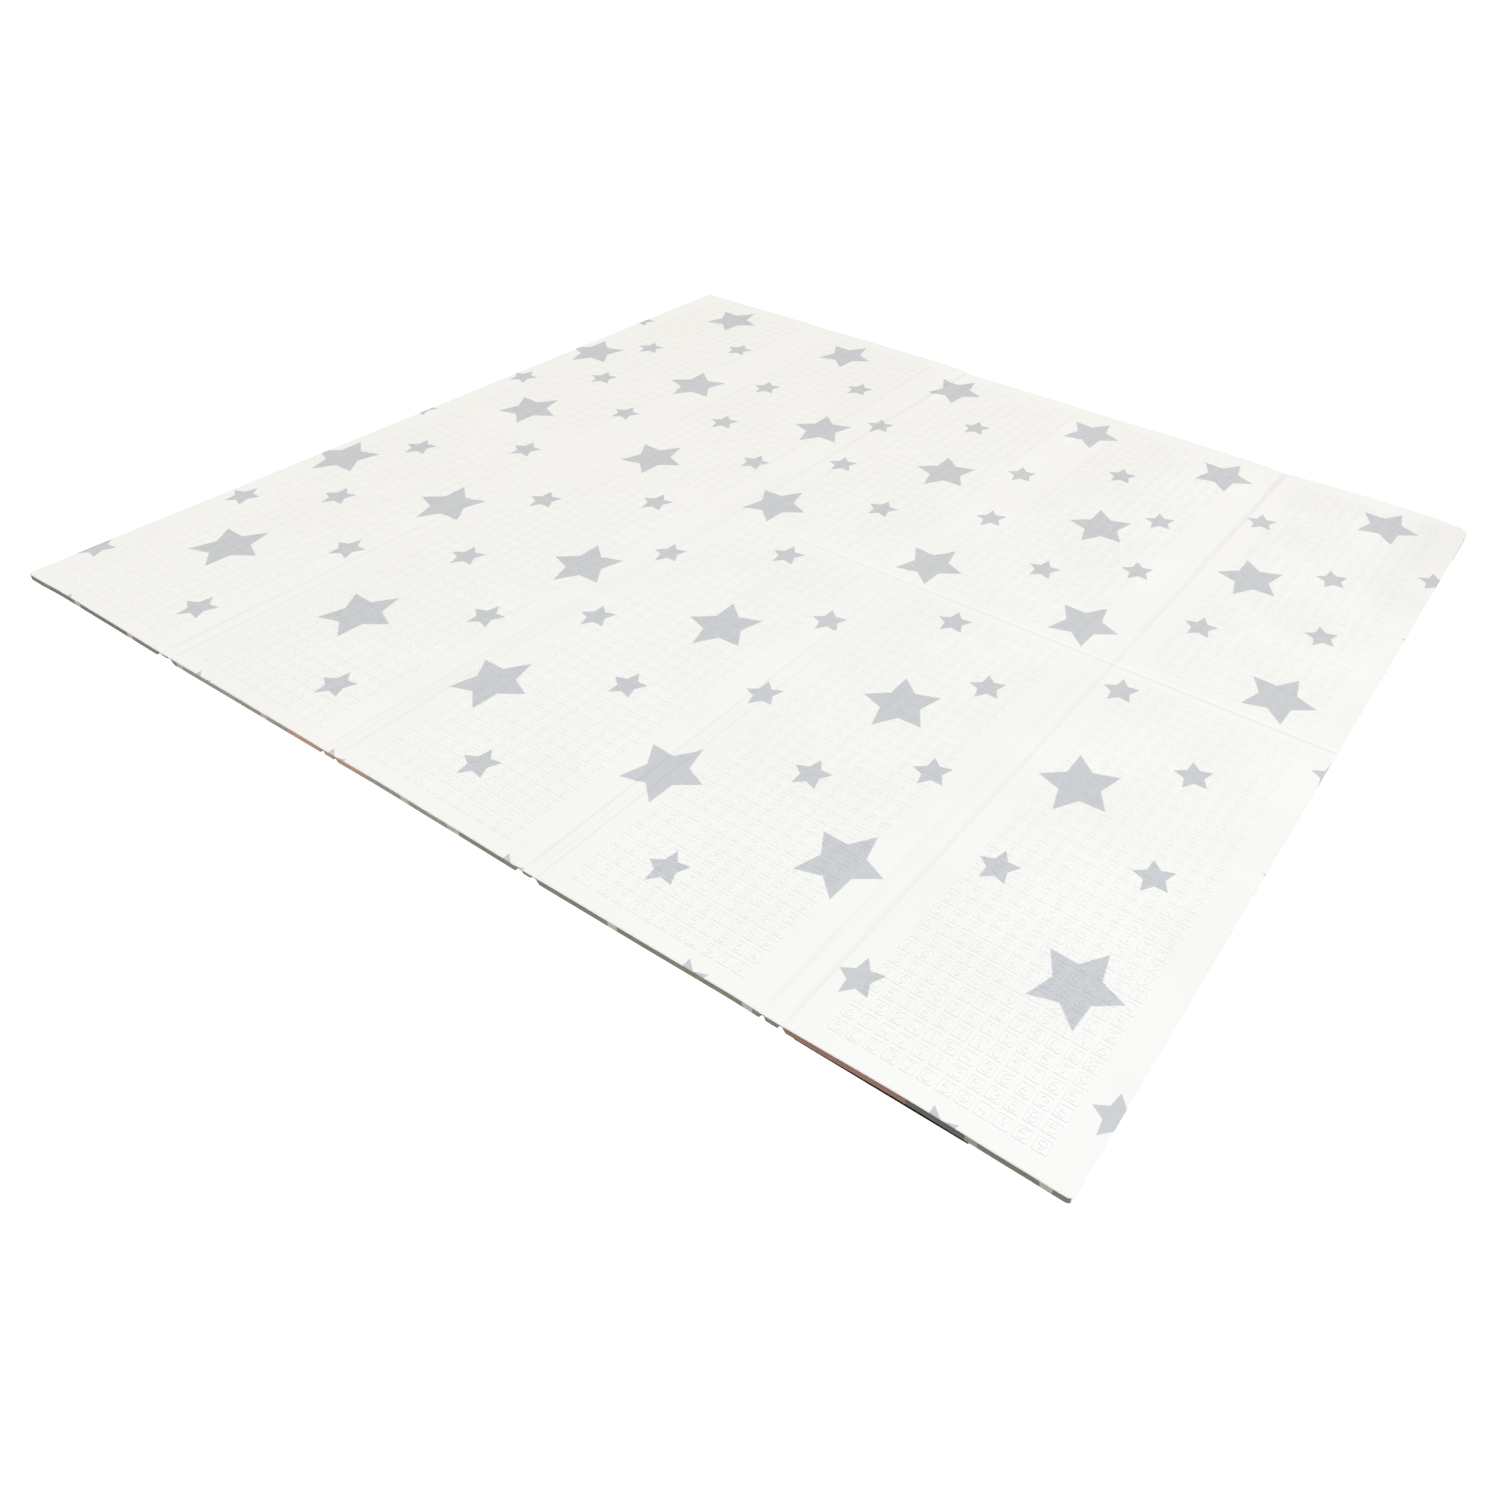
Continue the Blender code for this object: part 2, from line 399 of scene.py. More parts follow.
def grid_places(half, spacing, middles, span, step):
    """Places along one side of the mat: even ones, close ones round each fold and edge."""
    inner = half - EDGE_TURN
    places = [side * (inner - inset) for inset in EDGE_STEPS for side in (-1.0, 1.0)]
    inner -= EDGE_STEPS[-1]
    count = int(round(2.0 * inner / spacing))
    even = np.linspace(-inner, inner, count + 1)[1:-1]
    for middle in middles:
        even = even[np.abs(even - middle) > span + GRID_CLEAR * spacing]
        close = int(round(2.0 * span / step))
        places += list(np.linspace(middle - span, middle + span, close + 1))
    return np.unique(np.round(np.concatenate([places, even]), PLACE_DIGITS))


def corner_radius(x, y):
    """Radius of the corner nearest to x, y: the far right one is rounder."""
    return np.where((x > 0.0) & (y > 0.0), FAR_RIGHT_RADIUS, CORNER_RADIUS)


def rounded_outline(x, y):
    """Draw the square at each corner of the grid onto a quarter disc of its radius.

    A point at shares a and b of the square's sides goes to a times the root of 1 less
    half of b squared, and likewise for b.
    """
    outer = corner_radius(x, y)
    radius = outer - EDGE_TURN
    start_x = LENGTH / 2 - outer
    start_y = WIDTH / 2 - outer
    a = np.clip((np.abs(x) - start_x) / radius, 0.0, 1.0)
    b = np.clip((np.abs(y) - start_y) / radius, 0.0, 1.0)
    inside = (a > 0.0) & (b > 0.0)
    corner_x = np.sign(x) * (start_x + radius * a * np.sqrt(1.0 - b * b / 2.0))
    corner_y = np.sign(y) * (start_y + radius * b * np.sqrt(1.0 - a * a / 2.0))
    return np.where(inside, corner_x, x), np.where(inside, corner_y, y)


def outline_normals(x, y):
    """Outward directions at the outline, away from the rectangle of corner centres."""
    reach_x = LENGTH / 2 - corner_radius(x, y)
    reach_y = WIDTH / 2 - corner_radius(x, y)
    out_x = x - np.clip(x, -reach_x, reach_x)
    out_y = y - np.clip(y, -reach_y, reach_y)
    size = np.hypot(out_x, out_y)
    return out_x / size, out_y / size


def edge_rows(x, y, top, under):
    """Points of the edge strip's rows, from the ring where the grids end.

    Depths under the film and heights over the underside shrink together where the sheet
    is thinner than FULL_EDGE; what is left between them is divided by the shares. Also
    returned are the outward part on Y and whether the sheet is thin there.
    """
    out_x, out_y = outline_normals(x, y)
    thick = top - under
    shrink = np.minimum(1.0, thick / FULL_EDGE)
    between = thick - shrink * (LIP_DEPTH + FOOT_HEIGHT)
    rows = []
    to_front = np.clip(-out_y, 0.0, 1.0)
    for front_inset, inset, depth, height, share in EDGE_ROWS:
        if depth is not None:
            z = top - shrink * depth
        elif height is not None:
            z = under + shrink * height
        else:
            z = top - shrink * LIP_DEPTH - share * between
        out = EDGE_TURN - inset - (front_inset - inset) * to_front
        rows.append(np.stack([x + out * out_x, y + out * out_y, z], axis=-1))
    return rows, out_y, thick < FULL_EDGE


def mat_arrays():
    """Points, quads and the finish of each quad, for the whole closed mat."""
    band_middles = [band[0] for band in BANDS]
    along = grid_places(LENGTH / 2, GRID_ALONG, band_middles, BAND_SPAN, BAND_STEP)
    across = grid_places(WIDTH / 2, GRID_ACROSS, [HALVING_Y], HALVING_SPAN, HALVING_STEP)
    x, y = rounded_outline(*np.meshgrid(along, across, indexing="ij"))
    top = top_height(x, y)
    under = underside_height(x, y)
    index = np.arange(x.size).reshape(x.shape)
    quads = np.stack([index[:-1, :-1], index[1:, :-1], index[1:, 1:], index[:-1, 1:]], axis=-1)
    quads = quads.reshape(-1, 4)
    loop = np.concatenate([index[:, 0], index[-1, 1:], index[-2::-1, -1], index[0, -2:0:-1]])
    ring_x, ring_y = x.ravel()[loop], y.ravel()[loop]
    rows, out_y, thin = edge_rows(ring_x, ring_y, top.ravel()[loop], under.ravel()[loop])
    points = np.concatenate([
        np.stack([x, y, top], axis=-1).reshape(-1, 3),
        np.stack([x, y, under], axis=-1).reshape(-1, 3),
        *rows,
    ])
    first_row = 2 * x.size
    rings = [loop] + [first_row + k * len(loop) + np.arange(len(loop)) for k in range(len(rows))]
    rings.append(loop + x.size)
    front = 0.5 * (out_y + np.roll(out_y, -1)) < -FACES_FRONT
    far_right = (ring_x > LENGTH / 2 - FAR_RIGHT_RADIUS) & (ring_y > DARK_RIGHT_FROM)
    coloured = front | (far_right & (out_y < FACES_BACK))
    front_neck = front & thin & np.roll(thin, -1)
    faces = [quads, quads[:, ::-1] + x.size]
    finishes = [np.full(len(quads), FILM), np.full(len(quads), REVERSE)]
    for strip, (upper, lower) in enumerate(zip(rings[:-1], rings[1:])):
        faces.append(np.stack([lower, np.roll(lower, -1), np.roll(upper, -1), upper], axis=-1))
        if strip < LIP_STRIPS:
            finishes.append(np.where(front_neck & (strip > 0), BAND, FILM))
        elif strip < LIP_STRIPS + SEAM_STRIPS:
            finishes.append(np.where(coloured, SEAM, PALE_EDGE))
        else:
            finishes.append(np.where(coloured, BAND, PALE_EDGE))
    return points, np.concatenate(faces), np.concatenate(finishes)


# The star print. Grey five-pointed stars are printed under the film's gloss in rows of two
# sizes, two stars to each repeat of the pattern, and the print runs off at the edges. Each
# star is a little narrower along the mat than across it.
STAR_NARROW = 0.935
STAR_TALL = 1.065
STAR_NOTCH = 0.51
GAP_SHARE = 0.532
PRINT_MAP = "print"

# Columns are the name of a kind of star, its radius, the angle of its first tip, and
# whether the wide gap or the narrow gap comes first in its row
STAR_KINDS = {
    "big upright": (0.0675, 6.9, True),
    "big tilted": (0.0675, 46.5, False),
    "small between": (0.0330, 36.0, False),
    "small left": (0.0330, 29.7, False),
    "small over big": (0.0330, 44.8, True),
    "small right": (0.0330, 45.0, True),
}

# Columns are the kind, the row's place on Y, its first star on X and its repeat, which
# differs a little from row to row
STAR_ROWS = (
    ("small right", -0.920, -0.870, 0.674),
    ("small between", -0.788, -1.007, 0.672),
    ("big upright", -0.640, -0.825, 0.672),
    ("small left", -0.518, -0.978, 0.678),
    ("small over big", -0.407, -0.831, 0.675),
    ("big tilted", -0.297, -0.966, 0.679),
    ("small right", -0.174, -0.876, 0.678),
    ("small between", -0.046, -1.026, 0.683),
    ("big upright", 0.094, -0.836, 0.678),
    ("small left", 0.211, -0.984, 0.681),
    ("small over big", 0.317, -0.832, 0.677),
    ("big tilted", 0.424, -0.962, 0.678),
    ("small right", 0.519, -0.869, 0.674),
    ("small between", 0.648, -1.013, 0.674),
    ("big upright", 0.789, -0.830, 0.669),
    ("small left", 0.926, -0.984, 0.674),
)

# How far the print has crept on each panel along X and along Y, for the front panels and
# then the back ones, from left to right
PRINT_CREEP = (
    (
        (0.0060, -0.0027),
        (-0.0005, -0.0014),
        (-0.0002, 0.0004),
        (-0.0027, 0.0029),
        (-0.0027, 0.0013),
    ),
    (
        (0.0021, -0.0008),
        (0.0019, -0.0034),
        (0.0009, 0.0006),
        (0.0007, 0.0004),
        (-0.0056, 0.0031),
    ),
)

# Beyond END_STARTS the print has crept towards the middle of the mat, and towards END_LEVEL
# on Y by a share of the distance. The rows past CUT_ROWS, which the front and back edges
# cut, are left as they are
END_STARTS = 0.95
END_CREEP = 0.011
END_LEVEL = -0.30
END_SHARE = 0.012
CUT_ROWS = 0.90
ROW_REPEATS = 4


def star_arrays():
    """Place on X and Y, radius and first tip's angle of every star, row after row."""
    stars = []
    for kind, y, first, repeat in STAR_ROWS:
        radius, angle, wide_first = STAR_KINDS[kind]
        step = GAP_SHARE if wide_first else 1.0 - GAP_SHARE
        for k in range(ROW_REPEATS):
            for share in (0.0, step):
                x = first + (k + share) * repeat
                panel = int(np.searchsorted([band[0] for band in BANDS], x))
                creep_x, creep_y = PRINT_CREEP[int(y > HALVING_Y)][panel]
                if abs(x) > END_STARTS and abs(y) < CUT_ROWS:
                    creep_x -= math.copysign(END_CREEP, x)
                    creep_y -= END_SHARE * (y - END_LEVEL)
                stars.append((x + creep_x, y + creep_y, radius, math.radians(angle)))
    return np.array(stars).T


STAR_X, STAR_Y, STAR_RADIUS, STAR_ANGLE = star_arrays()


def lay_print(mesh):
    """Give every face corner its place in the frame of the star nearest to the face.

    In that frame the star's middle is 0, 0, its tips are at a distance of 1, and the
    first tip is on the first axis. Nearest is by distance over the star's own radius.
    """
    corners = len(mesh.loops)
    faces = len(mesh.polygons)
    points = np.empty(3 * len(mesh.vertices))
    mesh.vertices.foreach_get("co", points)
    points = points.reshape(-1, 3)
    point_of = np.empty(corners, dtype=np.int64)
    mesh.loops.foreach_get("vertex_index", point_of)
    sides = np.empty(faces, dtype=np.int64)
    mesh.polygons.foreach_get("loop_total", sides)
    centres = np.empty(3 * faces)
    mesh.polygons.foreach_get("center", centres)
    centres = centres.reshape(-1, 3)
    away_x = (centres[:, :1] - STAR_X) / (STAR_NARROW * STAR_RADIUS)
    away_y = (centres[:, 1:2] - STAR_Y) / (STAR_TALL * STAR_RADIUS)
    nearest = np.repeat(np.argmin(away_x ** 2 + away_y ** 2, axis=1), sides)
    radius = STAR_RADIUS[nearest]
    from_x = (points[point_of, 0] - STAR_X[nearest]) / (STAR_NARROW * radius)
    from_y = (points[point_of, 1] - STAR_Y[nearest]) / (STAR_TALL * radius)
    cosine = np.cos(STAR_ANGLE[nearest])
    sine = np.sin(STAR_ANGLE[nearest])
    places = np.stack([from_x * cosine + from_y * sine, from_y * cosine - from_x * sine], axis=-1)
    layer = mesh.uv_layers.new(name=PRINT_MAP)
    layer.data.foreach_set("uv", places.ravel().astype(np.float32))


# The printed film: a matt, warm white plastic skin with a fine grain, welded to the foam by
# heat. The stars' ink is under it. It is made greyer in the creases, and towards the far
# right corner, where the photograph shows it darker.
FILM_WHITE = (0.800, 0.797, 0.757, 1.0)
FILM_SHADE = (0.788, 0.784, 0.742, 1.0)
INK_GREY = (0.526, 0.543, 0.548, 1.0)
INK_SHADE = (0.502, 0.518, 0.522, 1.0)
INK_EDGE = 0.012
# Painted shade: the next grey darkens the film in the creases, and also towards the far right
# corner.
CREASE_SHADE_AND_CORNER_GREY = (0.930, 0.930, 0.925, 1.0)
CREASE_SHADE_AND_CORNER_MARKS = "crease_shade_and_corner_marks"
CREASE_DARKEST = 0.0015
DARK_CORNER_REACH_X = 0.18
DARK_CORNER_REACH_Y = 0.55
FILM_ROUGHNESS = (0.66, 0.76)
FILM_SHEEN = 0.25

# How unevenness is spread: patches to a metre, levels of detail, and the part of a noise's
# range that goes from one shade to the other
CLOUDS_PER_METRE = 5.0
CLOUD_DETAIL = 2.0
CLOUD_SPREAD = (0.35, 0.65)
MOTTLE_PER_METRE = 90.0
MOTTLE_DETAIL = 3.0
SPREAD = (0.3, 0.7)
GRAIN_PER_METRE = 520.0
GRAIN_DETAIL = 3.0
GRAIN_ROUGHNESS = 0.55
GRAIN_DEPTH = 0.00012


def mark_crease_shade_and_corner(mesh):
    """Give every point how much the film is greyed there, from 0 to 1.

    Creases count by their depth, and their darkening is painted shade. The far right corner
    counts as the ease of 1 less the distance from it, each way over its own reach. The two
    are added up.
    """
    points = np.empty(3 * len(mesh.vertices))
    mesh.vertices.foreach_get("co", points)
    x, y, _ = points.reshape(-1, 3).T
    creased = crease_depth(x, y) / CREASE_DARKEST
    off_x = (LENGTH / 2 - x) / DARK_CORNER_REACH_X
    off_y = (WIDTH / 2 - y) / DARK_CORNER_REACH_Y
    corner = hump(np.hypot(off_x, off_y), 1.0)
    marks = mesh.attributes.new(CREASE_SHADE_AND_CORNER_MARKS, "FLOAT", "POINT")
    marks.data.foreach_set("value", np.clip(creased + corner, 0.0, 1.0).astype(np.float32))


def math_node(nodes, links, operation, first, second=None):
    """Add a Math node and feed it: each input is a socket or a number."""
    node = nodes.new("ShaderNodeMath")
    node.operation = operation
    for socket, value in zip(node.inputs, (first, second)):
        if isinstance(value, bpy.types.NodeSocket):
            links.new(value, socket)
        elif value is not None:
            socket.default_value = value
    return node.outputs[0]


def mix_node(nodes, links, factor, first, second):
    """Add a colour Mix node: factor is a socket, first and second sockets or colours."""
    node = nodes.new("ShaderNodeMix")
    node.data_type = "RGBA"
    links.new(factor, node.inputs["Factor"])
    for name, value in (("A", first), ("B", second)):
        socket = next(i for i in node.inputs if i.name == name and i.type == "RGBA")
        if isinstance(value, bpy.types.NodeSocket):
            links.new(value, socket)
        else:
            socket.default_value = value
    return next(o for o in node.outputs if o.type == "RGBA")


def noise_node(nodes, links, place, per_metre, detail, roughness=0.5):
    """Add a Noise node on object coordinates and return its value."""
    node = nodes.new("ShaderNodeTexNoise")
    node.inputs["Scale"].default_value = per_metre
    node.inputs["Detail"].default_value = detail
    node.inputs["Roughness"].default_value = roughness
    links.new(place, node.inputs["Vector"])
    return node.outputs["Fac"]


def range_node(nodes, links, value, low, high, to_low, to_high):
    """Add a clamped Map Range node and return its result."""
    node = nodes.new("ShaderNodeMapRange")
    node.inputs["From Min"].default_value = low
    node.inputs["From Max"].default_value = high
    node.inputs["To Min"].default_value = to_low
    node.inputs["To Max"].default_value = to_high
    links.new(value, node.inputs["Value"])
    return node.outputs["Result"]


def grained_bump(nodes, links, shader, place):
    """Give a shader the fine leather-like grain of a rolled film."""
    grain = noise_node(nodes, links, place, GRAIN_PER_METRE, GRAIN_DETAIL, GRAIN_ROUGHNESS)
    bump = nodes.new("ShaderNodeBump")
    bump.inputs["Strength"].default_value = 1.0
    bump.inputs["Distance"].default_value = GRAIN_DEPTH
    links.new(grain, bump.inputs["Height"])
    links.new(bump.outputs["Normal"], shader.inputs["Normal"])


def star_test(nodes, links):
    """1 on the ink of a star and 0 off it, from the print map.

    The angle round the star's middle is folded onto half a tip. A point is on the ink
    where it lies inside the line from the tip at 1 to the notch a tenth of a turn away.
    """
    tenth = math.pi / 5.0
    uv = nodes.new("ShaderNodeUVMap")
    uv.uv_map = PRINT_MAP
    split = nodes.new("ShaderNodeSeparateXYZ")
    links.new(uv.outputs["UV"], split.inputs[0])
    across, up = split.outputs[0], split.outputs[1]
    angle = math_node(nodes, links, "ARCTAN2", up, across)
    turned = math_node(nodes, links, "ADD", angle, tenth)
    folded = math_node(nodes, links, "FLOORED_MODULO", turned, 2.0 * tenth)
    folded = math_node(nodes, links, "SUBTRACT", folded, tenth)
    squares = math_node(nodes, links, "MULTIPLY", across, across)
    other = math_node(nodes, links, "MULTIPLY", up, up)
    reach = math_node(nodes, links, "SQRT", math_node(nodes, links, "ADD", squares, other))
    cosine = math_node(nodes, links, "COSINE", folded)
    sine = math_node(nodes, links, "ABSOLUTE", math_node(nodes, links, "SINE", folded))
    ahead = math_node(nodes, links, "MULTIPLY", reach, cosine)
    aside = math_node(nodes, links, "MULTIPLY", reach, sine)
    notch_ahead = STAR_NOTCH * math.cos(tenth)
    notch_aside = STAR_NOTCH * math.sin(tenth)
    side = math.hypot(1.0 - notch_ahead, notch_aside)
    ahead = math_node(nodes, links, "MULTIPLY", ahead, notch_aside / side)
    aside = math_node(nodes, links, "MULTIPLY", aside, (1.0 - notch_ahead) / side)
    outside = math_node(nodes, links, "ADD", ahead, aside)
    outside = math_node(nodes, links, "SUBTRACT", outside, notch_aside / side)
    return range_node(nodes, links, outside, -INK_EDGE, INK_EDGE, 1.0, 0.0)


def printed_film():
    """The top film: white and ink, each a little uneven, with a fine grain."""
    material = bpy.data.materials.new("printed film")
    material.use_nodes = True
    nodes, links = material.node_tree.nodes, material.node_tree.links
    shader = nodes["Principled BSDF"]
    place = nodes.new("ShaderNodeTexCoord").outputs["Object"]
    broad = noise_node(nodes, links, place, CLOUDS_PER_METRE, CLOUD_DETAIL)
    broad = range_node(nodes, links, broad, *CLOUD_SPREAD, 0.0, 1.0)
    white = mix_node(nodes, links, broad, FILM_WHITE, FILM_SHADE)
    fine = noise_node(nodes, links, place, MOTTLE_PER_METRE, MOTTLE_DETAIL)
    fine = range_node(nodes, links, fine, *SPREAD, 0.0, 1.0)
    ink = mix_node(nodes, links, fine, INK_GREY, INK_SHADE)
    colour = mix_node(nodes, links, star_test(nodes, links), white, ink)
    # The creases' painted shade and the darker far right corner multiply the colour here.
    marks = nodes.new("ShaderNodeAttribute")
    marks.attribute_name = CREASE_SHADE_AND_CORNER_MARKS
    greyed = mix_node(nodes, links, marks.outputs["Fac"], colour, CREASE_SHADE_AND_CORNER_GREY)
    greyed.node.blend_type = "MULTIPLY"
    links.new(greyed, shader.inputs["Base Color"])
    gloss = range_node(nodes, links, broad, 0.0, 1.0, *FILM_ROUGHNESS)
    links.new(gloss, shader.inputs["Roughness"])
    shader.inputs["Specular IOR Level"].default_value = FILM_SHEEN
    grained_bump(nodes, links, shader, place)
    return material


# The front edge. The film of the reverse, which carries a coloured print, turns up over the
# foam's side there, so stretches of that print show: olive grey with pale flecks and two
# stretches of brick red. The darkest olive stretch, after the second brick red, is painted
# shadow where the edge stands off the floor. The other edges are pale, but for a piece at
# the far right corner.
OLIVE = (0.140, 0.134, 0.103, 1.0)
DEEP_OLIVE = (0.095, 0.091, 0.072, 1.0)
LIGHT_OLIVE = (0.225, 0.215, 0.160, 1.0)
YELLOW_OLIVE = (0.168, 0.156, 0.102, 1.0)
DARK_OLIVE = (0.065, 0.061, 0.045, 1.0)
FLECK = (0.400, 0.385, 0.305, 1.0)
DULL_FLECK = (0.250, 0.238, 0.180, 1.0)
PALE_BRICK = (0.380, 0.195, 0.140, 1.0)
BRICK = (0.260, 0.105, 0.068, 1.0)
# The seam's dark olive is partly its own colour and partly painted shade in the recess under the
# lip.
SEAM_AND_SHADE_OLIVE = (0.100, 0.095, 0.072, 1.0)
PALE = (0.700, 0.700, 0.680, 1.0)
REVERSE_GREY = (0.300, 0.292, 0.250, 1.0)
REVERSE_SHADE = (0.258, 0.250, 0.212, 1.0)
BAND_ROUGHNESS = 0.5
WANDER_PER_METRE = 160.0
WANDER_DETAIL = 3.0
WANDER = 0.003
STREAKS_PER_METRE = 70.0
STREAK_SHARE = 0.35
STREAK_DETAIL = 4.0
SEAM_PATCHES_PER_METRE = 60.0
PALE_PATCHES_PER_METRE = 40.0
REVERSE_PATCHES_PER_METRE = 4.0
MAT_SHARP_ANGLE = math.radians(40.0)

# Columns are where a stretch begins, as a distance from the mat's left end, and its colour
BAND_STRETCHES = (
    (0.000, DEEP_OLIVE),
    (0.045, OLIVE),
    (0.058, DEEP_OLIVE),
    (0.136, FLECK),
    (0.151, DEEP_OLIVE),
    (0.284, FLECK),
    (0.301, OLIVE),
    (0.418, FLECK),
    (0.437, LIGHT_OLIVE),
    (0.630, FLECK),
    (0.646, LIGHT_OLIVE),
    (0.691, PALE_BRICK),
    (0.862, LIGHT_OLIVE),
    (0.939, FLECK),
    (0.958, LIGHT_OLIVE),
    (1.036, FLECK),
    (1.055, YELLOW_OLIVE),
    (1.333, FLECK),
    (1.351, YELLOW_OLIVE),
    (1.548, FLECK),
    (1.564, YELLOW_OLIVE),
    (1.614, BRICK),
    # Painted shadow: this darkest olive stands for the dark gap under the raised edge.
    (1.788, DARK_OLIVE),
    (1.862, DULL_FLECK),
    (1.880, OLIVE),
    (1.958, FLECK),
    (1.972, OLIVE),
)


def edge_band():
    """The front edge: a colour ramp along the mat, its borders blurred by fine noise."""
    material = bpy.data.materials.new("edge band")
    material.use_nodes = True
    nodes, links = material.node_tree.nodes, material.node_tree.links
    shader = nodes["Principled BSDF"]
    place = nodes.new("ShaderNodeTexCoord").outputs["Object"]
    split = nodes.new("ShaderNodeSeparateXYZ")
    links.new(place, split.inputs[0])
    wander = noise_node(nodes, links, place, WANDER_PER_METRE, WANDER_DETAIL)
    wander = range_node(nodes, links, wander, 0.0, 1.0, -WANDER, WANDER)
    along = math_node(nodes, links, "ADD", split.outputs[0], wander)
    along = range_node(nodes, links, along, -LENGTH / 2, LENGTH / 2, 0.0, 1.0)
    ramp = nodes.new("ShaderNodeValToRGB")
    ramp.color_ramp.interpolation = "CONSTANT"
    stops = ramp.color_ramp.elements
    stops.remove(stops[1])
    stops[0].position = 0.0
    stops[0].color = BAND_STRETCHES[0][1]
    for start, colour in BAND_STRETCHES[1:]:
        stops.new(start / LENGTH).color = colour
    links.new(along, ramp.inputs["Fac"])
    streaks = noise_node(nodes, links, place, STREAKS_PER_METRE, STREAK_DETAIL)
    streaks = range_node(nodes, links, streaks, *SPREAD, 0.0, STREAK_SHARE)
    colour = mix_node(nodes, links, streaks, ramp.outputs["Color"], DARK_OLIVE)
    links.new(colour, shader.inputs["Base Color"])
    shader.inputs["Roughness"].default_value = BAND_ROUGHNESS
    shader.inputs["Specular IOR Level"].default_value = FILM_SHEEN
    grained_bump(nodes, links, shader, place)
    return material


def plain_film(name, colour, shade, per_metre):
    """An unprinted film: one colour shading softly into another, with the fine grain."""
    material = bpy.data.materials.new(name)
    material.use_nodes = True
    nodes, links = material.node_tree.nodes, material.node_tree.links
    shader = nodes["Principled BSDF"]
    place = nodes.new("ShaderNodeTexCoord").outputs["Object"]
    cloud = noise_node(nodes, links, place, per_metre, STREAK_DETAIL)
    cloud = range_node(nodes, links, cloud, *SPREAD, 0.0, 1.0)
    links.new(mix_node(nodes, links, cloud, colour, shade), shader.inputs["Base Color"])
    gloss = range_node(nodes, links, cloud, 0.0, 1.0, *FILM_ROUGHNESS)
    links.new(gloss, shader.inputs["Roughness"])
    shader.inputs["Specular IOR Level"].default_value = FILM_SHEEN
    grained_bump(nodes, links, shader, place)
    return material


def build_mat():
    """The whole mat as one closed mesh with a finish for each of its kinds of face."""
    points, faces, finishes = mat_arrays()
    mesh = bpy.data.meshes.new("mat")
    mesh.from_pydata(points.tolist(), [], faces.tolist())
    mesh.update()
    mesh.materials.append(printed_film())
    mesh.materials.append(edge_band())
    for name, colour, shade, per_metre in (
        # Partly painted shade: the seam's dark olive also darkens the recess under the lip.
        ("seam of the edge and its painted shade", SEAM_AND_SHADE_OLIVE, DARK_OLIVE, SEAM_PATCHES_PER_METRE),
        ("pale edge", PALE, FILM_SHADE, PALE_PATCHES_PER_METRE),
        ("reverse film", REVERSE_GREY, REVERSE_SHADE, REVERSE_PATCHES_PER_METRE),
    ):
        mesh.materials.append(plain_film(name, colour, shade, per_metre))
    mesh.polygons.foreach_set("material_index", finishes.astype(np.int32))
    mesh.shade_smooth()
    mesh.set_sharp_from_angle(angle=MAT_SHARP_ANGLE)
    lay_print(mesh)
    mark_crease_shade_and_corner(mesh)
    mat = bpy.data.objects.new("mat", mesh)
    bpy.context.scene.collection.objects.link(mat)
    return mat


mat = build_mat()
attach(mat, "root")
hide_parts("play_mat")

# The pressed relief. Each panel is embossed with a field of rounded squares, and in each
# square stands one figure, here a plain number. They are pressed into film and foam as low
# ridges, and the star print runs across them.
CELL_ALONG = 0.02485
CELL_ACROSS = 0.0255
CELL_SIDE = 0.0190
CELL_CORNER = 0.0018
CELL_COLUMNS = 12
RIDGE_WIDTH = 0.0019
RIDGE_HEIGHT = 0.00048
RIDGE_SINK = 0.00008
RIDGE_CREST_ANGLE = math.radians(105.0)
HIGHER_SHARE = 0.68
HIGHER_REACH = 0.80
MITRE_LIMIT = 1.4
FIGURE_WIDTH = 0.0096
FIGURE_HEIGHT = 0.0130
FIGURE_SEED = 11

# Columns are the place on X where a panel's field begins
FIELD_STARTS = (-0.953, -0.560, -0.164, 0.238, 0.657)
# Columns are the place on Y where a row of fields begins and its count of squares
FIELD_ROWS = ((-0.8735, 34), (0.047, 32))

